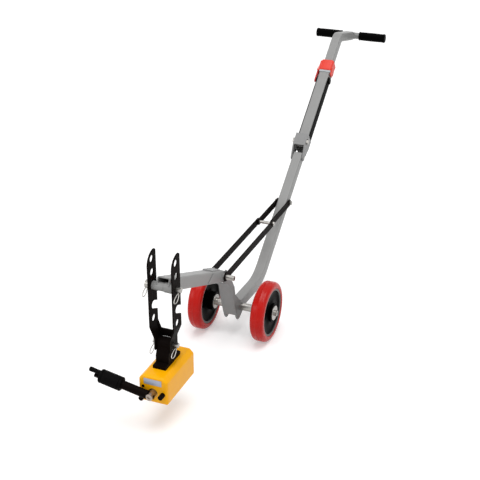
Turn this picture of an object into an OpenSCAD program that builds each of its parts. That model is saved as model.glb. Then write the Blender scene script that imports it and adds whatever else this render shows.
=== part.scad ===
// Magnetic manhole cover lifter: a two wheeled lever with a switchable
// lifting magnet on a hanging fork. X runs along the axle, -Y is the magnet
// end, +Y the handle end, Z is up and the wheels stand on Z = 0.
// The model stands in its lifting stance, handle pulled down.

/* [Wheels and axle] */
// Outer diameter of a wheel
wheel_d = 198; // [190:1:210]
// Width of a tyre
tyre_w = 46; // [42:1:56]
// Thickness of the tyre band over the wheel core
tyre_t = 20; // [14:1:24]
// Radius of the tyre shoulders
shoulder_r = 13; // [6:1:13]
// Gap between the inner faces of the two tyres
wheel_gap = 170; // [150:1:190]
// Diameter of the axle
axle_d = 25; // [20:1:28]
// Outer diameter of a wheel bearing
bearing_d = 47; // [44:1:52]
// Width of a wheel bearing
bearing_w = 12; // [10:1:13]
// Diameter of the washers on both sides of a wheel
washer_d = 48; // [40:1:52]
// Thickness of those washers
washer_t = 3; // [2:0.5:4]
// Thickness of the rim ring on the wheel core
rim_t = 7; // [5:1:9]
// How far a wheel's hub stands out of the tyre's inner face
hub_proud_in = 14; // [2:1:18]
// How far a wheel's hub stands out of the tyre's outer face
hub_proud_out = 3; // [1:1:6]

/* [Pivot post] */
// How far the strap pivot lies in front of the axle
pivot_fwd = 140; // [130:1:150]
// How far the strap pivot lies above the axle
pivot_up = 178; // [170:1:186]
// Outer diameter of the knuckle sleeve
sleeve_d = 36; // [32:1:40]
// Length of the knuckle sleeve
sleeve_len = 40; // [39:0.5:46]
// Diameter of the strap pivot pin
pivot_pin_d = 16; // [12:1:18]
// How far the pivot pin stands out to the right of the centre
pivot_pin_out = 55; // [48:1:70]
// Thickness of a side plate
plate_t = 5; // [4:0.5:7]
// Thickness of the front web
web_t = 5; // [3:0.5:6]

/* [Arm] */
// Rise of the arm towards the magnet, degrees
arm_rise = 22.7; // [20:0.1:25]
// Length of the arm from the pivot to its open front end
arm_len = 402; // [380:1:440]
// Outer width of the square arm tube
arm_w = 38; // [36:1:40]
// Wall of the arm tube
arm_wall = 3; // [2:0.5:4]
// Length of the doubler plate on top of the arm
doubler_len = 62; // [40:1:90]
// Thickness of the doubler plate
doubler_t = 4; // [3:0.5:6]

/* [Fork] */
// Outer diameter of the cross tube at the arm's front end
cross_d = 25; // [24:1:30]
// Distance of the cross tube behind the arm's open end
cross_back = 11; // [8:1:20]
// Drop of the cross tube below the arm's centre line
cross_drop = 9; // [7:1:12]
// Diameter of the fork pin
fork_pin_d = 16; // [14:1:18]
// Inner width between the two tines
fork_gap = 68; // [64:1:76]
// Thickness of a tine
tine_t = 4; // [3:0.5:6]
// Width of a tine from front to rear
tine_w = 48; // [46:1:56]
// Height of the tine tips above the fork pin
tine_up = 103; // [100:1:120]
// Distance from the fork pin down to the lug pin
fork_drop = 177; // [165:1:190]
// Pitch of the spare holes above the fork pin
hole_pitch = 40; // [34:1:42]
// Diameter of the spare holes
spare_hole_d = 21.2; // [16.2:1:23.2]
// Inner width of the fork's neck
neck_gap = 41; // [39:1:46]

/* [Magnet] */
// Width of the magnet housing
magnet_w = 88; // [82:1:96]
// Length of the magnet housing
magnet_len = 179; // [160:1:200]
// Height of the magnet housing
magnet_h = 85; // [80:1:92]
// Distance from the lug pin down to the magnet's top
lug_h = 59; // [50:1:62]
// Width of the chamfers along the top edges
magnet_chamfer = 13; // [8:1:15]
// Height of the rotor axis above the magnet's foot
rotor_up = 33; // [30:1:36]
// Diameter of the rotor
rotor_d = 50; // [46:1:52]
// Diameter of the rotor shaft
shaft_d = 21; // [18:1:24]
// How far the shaft boss stands out of the front cover
boss_out = 26; // [26:1:32]
// Thickness of the end covers
cover_t = 12; // [9:1:14]
// Diameter of the lug pin
lug_pin_d = 14; // [12:1:16]

/* [Magnet lever] */
// Angle of the resting lever above the horizontal, degrees
lever_rise = 10.5; // [8:0.5:14]
// Length of the lever from the shaft axis to the far end of its grip
lever_len = 157; // [140:1:180]
// Diameter of the lever rod
lever_d = 25; // [20:1:26]
// Length of the lever's grip
lever_grip_len = 69; // [60:1:85]
// Diameter of the lever's grip
lever_grip_d = 41; // [36:1:42]
// Side distance of the two lever stops from the shaft axis
stop_x = 30; // [29:1:31]
// Diameter of a lever stop
stop_d = 14; // [10:1:14]
// How far a lever stop stands out of the front cover
stop_out = 18; // [16:1:22]

/* [Lower handle tube] */
// Outer width of the square lower tube
low_w = 34; // [32:1:35]
// Wall of the lower tube
low_wall = 2.5; // [2:0.5:3]
// Dip of the lower section behind the axle, degrees
low_dip = 1.9; // [0:0.1:4]
// Length of the lower section from the axle to the bend
low_len = 200; // [195:1:220]
// Angle of the bend, degrees
low_bend = 39.9; // [38:0.1:42]
// Centre line radius of the bend
low_bend_r = 150; // [120:1:170]
// Length of the main section from the bend to its upper end
low_main = 513; // [505:1:540]
// Distance of the strap bolt from the bend
strap_at = 313; // [300:1:330]

/* [Folding straps] */
// Length of a lower strap between its pivots
low_strap = 405; // [390:1:420]
// Width of a strap
strap_w = 24; // [20:1:26]
// Thickness of a strap
strap_t = 4; // [3:0.5:5]
// Diameter of the strap bolts and the knuckle rod
strap_bolt_d = 8; // [6:1:10]

/* [Fold bracket and upper tube] */
// Outer width of the square upper tube
up_w = 38; // [38:0.5:40]
// Wall of the upper tube
up_wall = 2; // [1.5:0.5:2]
// Distance of the fold pin below the lower tube's upper end
fold_pin_below = 13; // [12:1:18]
// Offset of the fold pin towards the front of the tube
fold_pin_off = 5; // [4:0.5:6]
// Diameter of the fold pin
fold_pin_d = 10; // [8:1:11]
// Gap between the ends of the two tubes at the fold
fold_gap = 25; // [22:1:32]
// Length of the upper tube
up_len = 347; // [330:1:380]
// Thickness of the fold bracket
bracket_t = 4; // [3:0.5:5]
// Height of the bracket's web over the tube's face
bracket_rise = 17; // [15:1:20]
// Length of the bracket's web
bracket_web_len = 45; // [40:1:55]
// Thickness of the side guards
guard_t = 3; // [2:0.5:4]

/* [Telescope and T-handle] */
// Outer width of the square inner tube
in_w = 33; // [32:0.5:33]
// Wall of the inner tube
in_wall = 2; // [1.5:0.5:2.5]
// How deep the inner tube reaches into the upper tube
in_depth = 235; // [225:1:240]
// Free length from the clamp collar to the bend's corner
in_free = 125; // [120:1:160]
// Angle of the handle bend, degrees
in_bend = 49.3; // [40:0.1:60]
// Centre line radius of the handle bend
in_bend_r = 40; // [30:1:50]
// Length of the stub from the bend's corner to the T-bar's axis
stub_len = 184; // [150:1:220]
// Length of the T-bar over its grips
tbar_len = 282; // [260:1:340]
// Diameter of the T-bar
tbar_d = 25; // [22:1:28]
// Length of a grip
grip_len = 105; // [90:1:110]
// Diameter of a grip
grip_d = 34; // [31:1:36]
// How far the clamp collar reaches down over the upper tube
mouth_overlap = 5; // [4:0.5:14]
// Length of the clamp collar
collar_len = 46; // [42:1:60]
// Outer width of the clamp collar
collar_w = 48; // [47:1:54]

/* [Fits] */
// Radial clearance of a running fit
fit = 0.1; // [0.05:0.01:0.1]
// Side clearance between moving faces
side_gap = 0.4; // [0.3:0.1:0.6]

/* [Hidden] */
$fn = 96;

// Colours of the real finishes
grey_paint = "#8f9090";
black_paint = "#1b1b1b";
zinc = "#c4c2be";
red_tyre = "#c62a22";
yellow_paint = "#f2ac10";
steel = "#9a9a98";

// Places of the main pivots in the Y-Z plane
axle_z = wheel_d / 2;
pivot_y = -pivot_fwd;
pivot_z = axle_z + pivot_up;
cross_along = arm_len - cross_back;
fork_y = pivot_y - cross_along * cos(arm_rise) - cross_drop * sin(arm_rise);
fork_z = pivot_z + cross_along * sin(arm_rise) - cross_drop * cos(arm_rise);
lug_z = fork_z - fork_drop;
magnet_top = lug_z - lug_h;
magnet_foot = magnet_top - magnet_h;
handle_rise = low_bend - low_dip;
bend_y = low_len * cos(low_dip);
bend_z = axle_z - low_len * sin(low_dip);
strap_y = bend_y + strap_at * cos(handle_rise);
strap_z = bend_z + strap_at * sin(handle_rise);

// The two straps lie in one line between their outer pivots
strap_span = norm([strap_y - pivot_y, strap_z - pivot_z]);
strap_slope = atan2(strap_z - pivot_z, strap_y - pivot_y);
up_strap = strap_span - low_strap;
up_strap_x = sleeve_len / 2;
low_strap_x = up_strap_x + strap_t + side_gap;
strap_out = low_strap_x + strap_t;
knuckle_nut_t = 4;

// Places along the upper handle, measured from the lower tube's bend
fold_at = low_main - fold_pin_below;
up_start = low_main + fold_gap;
up_end = up_start + up_len;
collar_start = up_end - mouth_overlap;
collar_end = collar_start + collar_len;
in_bend_at = collar_end + in_free;
bracket_x = up_w / 2 + bracket_t;
web_off = up_w / 2 + bracket_rise;

// Wheel places
wheel_in = wheel_gap / 2;
wheel_out = wheel_in + tyre_w;
wheel_mid = wheel_in + tyre_w / 2;
core_r = wheel_d / 2 - tyre_t;
hub_in = wheel_in - hub_proud_in;
hub_out = wheel_out + hub_proud_out;
washer_gap = 0.4;
axle_bolt_d = 12;
axle_bolt_len = 24;

// Fork places
tine_in = fork_gap / 2;
tine_out = tine_in + tine_t;
neck_in = neck_gap / 2;
neck_out = neck_in + tine_t;
taper_top = -122;
taper_len = 35;
neck_low = -fork_drop - 15;
pin_over = 14;

// Magnet places
front_y = -magnet_len / 2;
rotor_z = magnet_foot + rotor_up;
lever_y = front_y - boss_out + 10;
rotor_r = rotor_d / 2;
stop_reach = lever_d / 2 + stop_d / 2 + 1;
stop_drop = stop_reach / cos(lever_rise) - stop_x * tan(lever_rise);

// Wire clips, and how far they lean to the front
clip_wire = 2.6;
clip_lean = -52;

// Small sizes of the magnet lever
spigot_d = 12;
core_d = 14;
lock_d = 11;
lock_off = 6;
tip_d = 14;
tip_off = -9;
tip_len = 36;

// Bush on the axle, and the clamp lever's lugs
bush_out_d = 36;
clamp_x = 5;
clamp_lug_len = 16;
clamp_at = collar_start + clamp_lug_len / 2;

// A solid cylinder along X, centred on the given X place
module bar_x(d, len, x = 0) {
    translate([x, 0, 0])
        rotate([0, 90, 0])
            cylinder(d = d, h = len, center = true);
}

// Extrudes an outline drawn in the Y-Z plane across X
module across(x0, x1) {
    translate([x0, 0, 0])
        rotate([90, 0, 90])
            linear_extrude(height = x1 - x0)
                children();
}

// Extrudes an outline drawn in the X-Z plane along +Y, from y0 to y1
module along(y0, y1) {
    translate([0, y1, 0])
        rotate([90, 0, 0])
            linear_extrude(height = y1 - y0)
                children();
}

// A square outline with round corners
module round_square(w, r) {
    square([w - 2 * r, w], center = true);
    square([w, w - 2 * r], center = true);
    for (sx = [-1, 1], sy = [-1, 1])
        translate([sx * (w / 2 - r), sy * (w / 2 - r)])
            circle(r);
}

// The section of a square tube
module tube_section(w, wall, r = 4) {
    difference() {
        round_square(w, r);
        round_square(w - 2 * wall, max(r - wall, 0.8));
    }
}

// A square tube along +Y from y0 to y1
module square_tube(w, wall, y0, y1) {
    along(y0, y1)
        tube_section(w, wall);
}

// A square tube that starts at the origin along +Y and bends up by the angle
module tube_bend(w, wall, r, angle) {
    translate([0, 0, r])
        rotate([0, 90, 0])
            rotate_extrude(angle = angle)
                translate([r, 0])
                    tube_section(w, wall);
}

// A flat bar with round ends in the Y-Z plane, from the origin to length along +Y
module strap_outline(len, w, hole) {
    difference() {
        union() {
            translate([0, -w / 2])
                square([len, w]);
            circle(d = w);
            translate([len, 0])
                circle(d = w);
        }
        circle(d = hole);
        translate([len, 0])
            circle(d = hole);
    }
}

// A hexagon nut or bolt head along X, its flat face at x0
module hex_x(across_flats, x0, t) {
    translate([x0, 0, 0])
        rotate([0, 90, 0])
            cylinder(d = across_flats / cos(30), h = t, $fn = 6);
}

// Mirrors its children to the left side and keeps them on the right
module both_sides() {
    children();
    mirror([1, 0, 0])
        children();
}

// Frames of the main parts
module at_axle() {
    translate([0, 0, axle_z])
        children();
}

module at_pivot() {
    translate([0, pivot_y, pivot_z])
        children();
}

module on_arm() {
    at_pivot()
        rotate([-arm_rise, 0, 0])
            children();
}

module at_fork() {
    translate([0, fork_y, fork_z])
        children();
}

module at_magnet() {
    translate([0, fork_y, 0])
        children();
}

module at_rotor() {
    translate([0, fork_y, rotor_z])
        children();
}

// Local X runs out along the lever from the shaft's axis
module on_lever() {
    at_rotor()
        translate([0, lever_y, 0])
            rotate([0, 180 + lever_rise, 0])
                children();
}

// Local Y runs up the handle from the corner of the lower tube's bend
module on_handle() {
    translate([0, bend_y, bend_z])
        rotate([handle_rise, 0, 0])
            children();
}

// Local Y runs along the stub from the corner of the handle's bend
module on_stub() {
    on_handle()
        translate([0, in_bend_at, 0])
            rotate([-in_bend, 0, 0])
                children();
}

module axle() {
    color(zinc)
        at_axle()
            difference() {
                bar_x(axle_d, 2 * (hub_out + washer_gap));
                for (end = [-1, 1])
                    bar_x(axle_bolt_d, 2 * axle_bolt_len, end * (hub_out + washer_gap));
            }
}

// Washers on both faces of each wheel
module wheel_washers() {
    color(zinc)
        at_axle()
            both_sides() {
                difference() {
                    bar_x(washer_d, washer_t, hub_in - washer_gap - washer_t / 2);
                    bar_x(axle_d, 3 * washer_t, hub_in - washer_gap - washer_t / 2);
                }
                difference() {
                    bar_x(washer_d, washer_t, hub_out + washer_gap + washer_t / 2);
                    bar_x(axle_bolt_d, 3 * washer_t, hub_out + washer_gap + washer_t / 2);
                }
            }
}

// Socket screws that hold the outer washers to the axle's ends
module axle_bolts() {
    bolt_x = hub_out + washer_gap + washer_t;
    color(steel)
        at_axle()
            both_sides()
                difference() {
                    union() {
                        bar_x(18, 8, bolt_x + 4);
                        bar_x(axle_bolt_d, axle_bolt_len + washer_t,
                            bolt_x - (axle_bolt_len + washer_t) / 2);
                    }
                    bar_x(9, 10, bolt_x + 8);
                }
}

module tyre(side) {
    shoulder = min(shoulder_r, tyre_t - 1);
    color(red_tyre)
        at_axle()
            translate([side * wheel_mid, 0, 0])
                rotate([0, 90, 0])
                    rotate_extrude()
                        difference() {
                            union() {
                                translate([core_r, -tyre_w / 2])
                                    square([tyre_t - shoulder, tyre_w]);
                                translate([core_r, -tyre_w / 2 + shoulder])
                                    square([tyre_t, tyre_w - 2 * shoulder]);
                                for (end = [-1, 1])
                                    translate([wheel_d / 2 - shoulder, end * (tyre_w / 2 - shoulder)])
                                        circle(shoulder);
                            }
                            translate([core_r - 2 * shoulder, -tyre_w])
                                square([2 * shoulder, 2 * tyre_w]);
                        }
}

module wheel_core(side) {
    half_w = tyre_w / 2 - 2;
    boss_r = bearing_d / 2 + 7;
    low = side > 0 ? hub_in - wheel_mid : wheel_mid - hub_out;
    high = side > 0 ? hub_out - wheel_mid : wheel_mid - hub_in;
    color(steel)
        at_axle()
            translate([side * wheel_mid, 0, 0])
                rotate([0, 90, 0])
                    rotate_extrude()
                        difference() {
                            union() {
                                translate([core_r - rim_t, -half_w])
                                    square([rim_t, 2 * half_w]);
                                translate([axle_d / 2 + 3, -8])
                                    square([core_r - axle_d / 2 - 4, 16]);
                                translate([axle_d / 2 + 3, low])
                                    square([boss_r - axle_d / 2 - 3, high - low]);
                            }
                            translate([0, low - 2])
                                square([bearing_d / 2, bearing_w + 2]);
                            translate([0, high - bearing_w])
                                square([bearing_d / 2, bearing_w + 2]);
                        }
}

// Black dust covers in both faces of a wheel
module hub_covers(side) {
    cover_x = tyre_w / 2 - 8;
    boss_r = bearing_d / 2 + 7;
    color(black_paint)
        at_axle()
            translate([side * wheel_mid, 0, 0])
                for (end = [-1, 1])
                    difference() {
                        bar_x(2 * (core_r - rim_t), 3, end * cover_x);
                        bar_x(2 * boss_r, 9, end * cover_x);
                    }
}

module bearings(side) {
    color(zinc)
        at_axle()
            for (bearing_x = [hub_in + bearing_w / 2 - 0.05, hub_out - bearing_w / 2 + 0.05])
                difference() {
                    bar_x(bearing_d, bearing_w - 0.1, side * bearing_x);
                    bar_x(axle_d + 2 * fit, 2 * bearing_w, side * bearing_x);
                }
}

// Outline of a side plate, seen from the right, about the axle
module side_plate_outline() {
    difference() {
        union() {
            circle(r = 21);
            polygon([[0, 0], [9, 19], [-20, 36], [-54, 72], [-60, 102], [-75, 126],
                [16 - pivot_fwd, pivot_up + 16], [-pivot_fwd - 10, pivot_up - 14],
                [-pivot_fwd + 26, pivot_up - 40], [-84, 112], [-70, 60], [-57, 20], [-42, -20],
                [-33, -32], [-20, -32], [9, -19]]);
        }
        translate([-pivot_fwd, pivot_up])
            circle(d = sleeve_d);
        circle(d = axle_d);
    }
}

module side_plate(side) {
    inner_x = low_w / 2 + side_gap + 0.2;
    x0 = side > 0 ? inner_x : -inner_x - plate_t;
    color(grey_paint)
        at_axle()
            across(x0, x0 + plate_t)
                side_plate_outline();
}

// The web closes the post's front between the side plates
module front_web() {
    half_x = low_w / 2 + side_gap + 0.2;
    color(grey_paint)
        at_axle()
            across(-half_x, half_x)
                difference() {
                    polygon([[-84, 112], [-70, 60], [-57, 20], [-46, -10], [-46 + web_t, -10],
                        [-57 + web_t, 20], [-70 + web_t, 60], [-84 + web_t, 112],
                        [-pivot_fwd + 26 + web_t, pivot_up - 40], [-pivot_fwd + 26, pivot_up - 40]]);
                    translate([-pivot_fwd, pivot_up])
                        circle(d = sleeve_d);
                }
}

// Cross sleeve at the arm's rear end, with spacers out to the straps
module knuckle_sleeve() {
    color(grey_paint)
        at_pivot()
            difference() {
                union() {
                    bar_x(sleeve_d, sleeve_len);
                    bar_x(pivot_pin_d + 8, 2 * (low_strap_x - side_gap));
                }
                bar_x(pivot_pin_d, 4 * sleeve_len);
            }
}

// Pin through the sleeve and the lower straps; its right end stands out
module pivot_pin() {
    head_x = strap_out + side_gap;
    color(zinc)
        at_pivot()
            difference() {
                union() {
                    bar_x(pivot_pin_d, pivot_pin_out + head_x, (pivot_pin_out - head_x) / 2);
                    bar_x(pivot_pin_d + 8, 5, -head_x - 2.5);
                }
                bar_x(pivot_pin_d - 6, 24, pivot_pin_out);
            }
}

module arm_tube() {
    rear = sleeve_d / 2 - 4;
    color(grey_paint)
        difference() {
            on_arm()
                square_tube(arm_w, arm_wall, -arm_len, -rear);
            at_pivot()
                bar_x(sleeve_d, 2 * arm_w);
            at_fork() {
                bar_x(cross_d, 2 * arm_w);
                bar_x(cross_d + 3, arm_w, arm_w / 2 + 4);
            }
            on_arm()
                translate([-arm_w, -arm_len - 1, -arm_w])
                    cube([2 * arm_w, cross_back + 1, arm_w - cross_drop]);
        }
}

// A plate on top of the arm's rear end and one on each flank
module arm_doubler() {
    start = sleeve_d / 2 + 12;
    flank_t = 2.4;
    half = arm_w / 2 - 4;
    color(grey_paint)
        on_arm() {
            translate([-arm_w / 2 + 3, -start - doubler_len, arm_w / 2])
                cube([arm_w - 6, doubler_len, doubler_t]);
            both_sides()
                across(arm_w / 2, arm_w / 2 + flank_t)
                    polygon([[-sleeve_d / 2 - 6, -half], [-sleeve_d / 2 - 6, half],
                        [-start - doubler_len, half], [-start - doubler_len - 30, -half]]);
        }
}

// Tube that carries the fork pin, thicker on its right half behind a groove
module cross_tube() {
    half_x = tine_in - side_gap;
    color(grey_paint)
        at_fork()
            difference() {
                union() {
                    bar_x(cross_d - 2, 2 * half_x);
                    bar_x(cross_d, half_x + 2, 1 - half_x / 2);
                    bar_x(cross_d + 3, half_x - 4, half_x / 2 + 2);
                }
                bar_x(fork_pin_d + 2 * fit, 4 * half_x);
            }
}

module fork_pin() {
    head_x = tine_out + side_gap + 5;
    color(zinc)
        at_fork()
            difference() {
                union() {
                    bar_x(fork_pin_d, 2 * (tine_out + pin_over));
                    bar_x(fork_pin_d + 7, 11, -head_x - 5.5);
                }
                clip_hole(tine_out + pin_over - 5);
            }
}

module clip_hole(x) {
    translate([x, 0, 0])
        rotate([clip_lean, 0, 0])
            cylinder(d = clip_wire + 0.6, h = 60, center = true);
}

// A wire clip: its leg passes through the pin and its loop hangs to the front
module wire_clip(x, pin_d) {
    reach = pin_d / 2 + 2;
    loop_w = 9;
    loop_len = 22;
    translate([x, 0, 0])
        rotate([clip_lean, 0, 0])
            translate([0, 0, -reach]) {
                cylinder(d = clip_wire, h = 2 * reach, $fn = 24);
                translate([0, 0, -loop_w / 2])
                    rotate([90, 0, 0])
                        ring_half(loop_w / 2, 0);
                for (sx = [-1, 1])
                    translate([sx * loop_w / 2, 0, -loop_w / 2 - loop_len])
                        cylinder(d = clip_wire, h = loop_len, $fn = 24);
                translate([0, 0, -loop_w / 2 - loop_len])
                    rotate([90, 0, 0])
                        ring_half(loop_w / 2, 180);
            }
}

// Half a wire ring in the X-Y plane, from the start angle
module ring_half(r, start) {
    rotate([0, 0, start])
        rotate_extrude(angle = 180)
            translate([r, 0])
                circle(d = clip_wire, $fn = 24);
}

module fork_pin_clips() {
    color(zinc)
        at_fork() {
            wire_clip(tine_out + pin_over - 5, fork_pin_d);
            translate([-tine_out - side_gap - 10.5, 0, 0])
                wire_ring(fork_pin_d + 7);
        }
}

// A wire ring that hangs from a pin's head
module wire_ring(head_d) {
    loop_w = 9;
    loop_len = 18;
    rotate([clip_lean, 0, 0])
        translate([0, 0, -head_d / 2 - clip_wire / 2 - loop_w / 2]) {
            rotate([90, 0, 0])
                ring_half(loop_w / 2, 0);
            for (sx = [-1, 1])
                translate([sx * loop_w / 2, 0, -loop_len])
                    cylinder(d = clip_wire, h = loop_len, $fn = 24);
            translate([0, 0, -loop_len])
                rotate([90, 0, 0])
                    ring_half(loop_w / 2, 180);
        }
}

// Outline of a tine, seen from the right, about the fork pin
module tine_outline() {
    front = -tine_w / 2;
    brow_r = tine_w - 8;
    brow_z = tine_up - brow_r;
    notch_z = -62;
    difference() {
        union() {
            translate([front, neck_low])
                square([tine_w, brow_z - neck_low]);
            intersection() {
                translate([front + brow_r, brow_z])
                    circle(r = brow_r);
                translate([front, brow_z])
                    square([brow_r, brow_r]);
            }
            translate([front + brow_r, brow_z])
                square([8, brow_r - 8]);
            translate([front + brow_r, tine_up - 8])
                circle(r = 8);
        }
        circle(d = fork_pin_d);
        translate([0, hole_pitch])
            circle(d = spare_hole_d);
        translate([0, 2 * hole_pitch])
            circle(d = spare_hole_d);
        translate([0, -103])
            circle(d = spare_hole_d);
        translate([2, notch_z]) {
            circle(d = 24);
            rotate(-25)
                translate([0, -12])
                    square([tine_w, 24]);
        }
        translate([0, -fork_drop])
            circle(d = lug_pin_d);
    }
}

// Section of the right tine in the X-Z plane: it necks in above the lug pin
module tine_section() {
    polygon([[tine_in, tine_up + 5], [tine_out, tine_up + 5], [tine_out, taper_top],
        [neck_out, taper_top - taper_len], [neck_out, neck_low - 5], [neck_in, neck_low - 5],
        [neck_in, taper_top - taper_len + 2], [tine_in, taper_top + 2]]);
}

module tine(side) {
    color(black_paint)
        at_fork()
            mirror([side > 0 ? 0 : 1, 0, 0])
                intersection() {
                    across(0, 2 * tine_out)
                        tine_outline();
                    along(-tine_w, tine_w)
                        tine_section();
                }
}

// Plate between the tines at the top of the neck
module fork_web() {
    web_y = tine_w / 2 - 11;
    web_top = taper_top - 20;
    neck_top = taper_top - taper_len + 2;
    web_low = -fork_drop + 13.2;
    color(black_paint)
        at_fork()
            along(web_y, web_y + 7)
                polygon([[-tine_in, taper_top + 2], [-tine_in + 12, web_top], [tine_in - 12, web_top],
                    [tine_in, taper_top + 2], [neck_in, neck_top], [neck_in, web_low],
                    [-neck_in, web_low], [-neck_in, neck_top]]);
}

module lug_pin() {
    color(zinc)
        translate([0, fork_y, lug_z])
            difference() {
                bar_x(lug_pin_d, 2 * (neck_out + pin_over));
                clip_hole(neck_out + pin_over - 5);
                clip_hole(-neck_out - pin_over + 5);
            }
}

module lug_pin_clips() {
    color(zinc)
        translate([0, fork_y, lug_z]) {
            wire_clip(neck_out + pin_over - 5, lug_pin_d);
            wire_clip(-neck_out - pin_over + 5, lug_pin_d);
        }
}

// Lug on the magnet: a foot plate and an upright eye
module magnet_lug() {
    half_x = neck_in - side_gap;
    foot_t = 10;
    color(black_paint)
        translate([0, fork_y, lug_z])
            difference() {
                across(-half_x, half_x)
                    difference() {
                        union() {
                            translate([-48, -lug_h])
                                square([96, foot_t]);
                            polygon([[-28, -lug_h], [28, -lug_h], [28, -lug_h + 30], [17, -4],
                                [-17, -4], [-28, -lug_h + 30]]);
                            circle(r = 18);
                        }
                        circle(d = lug_pin_d + 2 * fit);
                    }
            }
}

// Section of the magnet housing in the X-Z plane
module housing_section() {
    half = magnet_w / 2;
    polygon([[-half, 0], [half, 0], [half, magnet_h - magnet_chamfer],
        [half - magnet_chamfer, magnet_h], [-half + magnet_chamfer, magnet_h],
        [-half, magnet_h - magnet_chamfer]]);
}

module magnet_housing() {
    color(yellow_paint)
        at_magnet()
            difference() {
                translate([0, 0, magnet_foot])
                    along(front_y + cover_t, -front_y - cover_t)
                        housing_section();
                translate([0, 0, rotor_z])
                    rotate([90, 0, 0])
                        cylinder(r = rotor_r + 1, h = 2 * magnet_len, center = true);
                translate([magnet_w / 2 - 8, -14, magnet_top - 20])
                    cylinder(d = 6, h = 40);
            }
}

// End cover with a bore for a shaft bush
module end_cover(y0) {
    color(yellow_paint)
        at_magnet()
            difference() {
                translate([0, 0, magnet_foot])
                    along(y0, y0 + cover_t)
                        housing_section();
                translate([0, y0 + cover_t / 2, rotor_z])
                    rotate([90, 0, 0])
                        cylinder(d = shaft_d + 8, h = 3 * cover_t, center = true);
            }
}

module front_cover() {
    end_cover(front_y);
}

module rear_cover() {
    end_cover(-front_y - cover_t);
}

// Countersunk screw heads on the rear cover
module cover_screws() {
    screw_y = -front_y;
    color(steel)
        at_magnet()
            for (sx = [-1, 1], z = [10, magnet_h - magnet_chamfer - 6])
                translate([sx * (magnet_w / 2 - 9), screw_y + 3, magnet_foot + z])
                    rotate([90, 0, 0])
                        difference() {
                            cylinder(d = 9, h = 3);
                            translate([0, 0, -1])
                                cylinder(d = 4.6, h = 3, $fn = 6);
                        }
}

// Steel rotor with a slot for its magnet blocks
module rotor_core() {
    len = magnet_len - 2 * cover_t - 2;
    color(steel)
        at_rotor()
            difference() {
                rotate([90, 0, 0])
                    cylinder(r = rotor_r, h = len, center = true);
                cube([30, len + 2, 2 * rotor_d], center = true);
            }
}

module rotor_magnets() {
    len = magnet_len - 2 * cover_t - 2;
    color("#4a4a50")
        at_rotor()
            cube([30, len, rotor_d - 20], center = true);
}

// Stub shafts at both rotor ends; the front one carries the lever
module rotor_shaft() {
    end = magnet_len / 2 - cover_t - 1;
    color(zinc)
        at_rotor() {
            rotate([-90, 0, 0])
                translate([0, 0, end])
                    cylinder(d = shaft_d, h = cover_t - 1);
            difference() {
                rotate([90, 0, 0])
                    translate([0, 0, end])
                        cylinder(d = shaft_d, h = boss_out + cover_t + 1);
                translate([0, lever_y, 0])
                    rotate([0, lever_rise, 0])
                        bar_x(spigot_d, 2 * shaft_d);
                translate([0, front_y - boss_out, 0])
                    rotate([90, 0, 0])
                        cylinder(d = 10, h = 6, center = true);
            }
        }
}

module shaft_bushes() {
    color("#b48a4a")
        at_rotor()
            for (end = [-1, 1])
                translate([0, end * (magnet_len / 2 - cover_t / 2), 0])
                    rotate([90, 0, 0])
                        difference() {
                            cylinder(d = shaft_d + 8, h = cover_t, center = true);
                            cylinder(d = shaft_d + 2 * fit, h = 2 * cover_t, center = true);
                        }
}

module lever_stops() {
    color(black_paint)
        at_rotor()
            translate([0, front_y, 0])
                rotate([90, 0, 0]) {
                    translate([-stop_x, -stop_drop, 0])
                        cylinder(d = stop_d, h = stop_out);
                    translate([stop_x, 1, 0])
                        cylinder(d = stop_d, h = stop_out);
                    translate([-30, 17, 0])
                        cylinder(d = 8, h = 2);
                }
}

module label_plate() {
    color(zinc)
        at_magnet()
            translate([-27, front_y - 1.2, magnet_top - 26])
                cube([54, 1.2, 18]);
}

// Rod whose spigot passes through the shaft, with a core inside the grip
module lever_rod() {
    grip_start = lever_len - lever_grip_len;
    core_end = lever_len - 36;
    rod_start = shaft_d / 2 - 2;
    color(black_paint)
        on_lever() {
            difference() {
                bar_x(lever_d, grip_start - rod_start, (grip_start + rod_start) / 2);
                rotate([90, 0, 0])
                    cylinder(d = shaft_d, h = 3 * lever_d, center = true);
            }
            bar_x(spigot_d, 2 * shaft_d, shaft_d / 2);
            bar_x(core_d, core_end - grip_start, (core_end + grip_start) / 2);
        }
}

// Grip with a fixed tip and a bore for the lock button
module lever_grip() {
    color("#262626")
        on_lever()
            difference() {
                union() {
                    bar_x(lever_grip_d, lever_grip_len, lever_len - lever_grip_len / 2);
                    translate([0, 0, tip_off])
                        bar_x(tip_d, tip_len + 5, lever_len + tip_len / 2 - 2.5);
                }
                bar_x(core_d, 2 * (lever_grip_len - 36), lever_len - lever_grip_len);
                translate([0, 0, lock_off])
                    bar_x(lock_d + 2 * fit, 68, lever_len);
            }
}

// Sliding lock button beside the lever's tip
module lock_button() {
    color(black_paint)
        on_lever()
            translate([0, 0, lock_off])
                bar_x(lock_d, 42, lever_len - 3);
}

module lower_tube() {
    tangent = low_bend_r * tan(low_bend / 2);
    bush_d = fold_pin_d + 8;
    color(grey_paint)
        difference() {
            union() {
                at_axle()
                    rotate([-low_dip, 0, 0])
                        square_tube(low_w, low_wall, 4, low_len - tangent);
                at_axle()
                    rotate([-low_dip, 0, 0])
                        translate([0, low_len - tangent, 0])
                            tube_bend(low_w, low_wall, low_bend_r, low_bend);
                on_handle()
                    square_tube(low_w, low_wall, tangent + 0.02, low_main);
                on_handle()
                    translate([0, fold_at, fold_pin_off])
                        bar_x(bush_d, up_w - 2 * side_gap);
            }
            at_axle()
                bar_x(bush_out_d, 2 * low_w);
            on_handle()
                translate([0, strap_at, 0])
                    bar_x(strap_bolt_d, 3 * low_w);
            on_handle()
                translate([0, fold_at, fold_pin_off])
                    bar_x(fold_pin_d + 2 * fit, 3 * low_w);
        }
}

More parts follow.
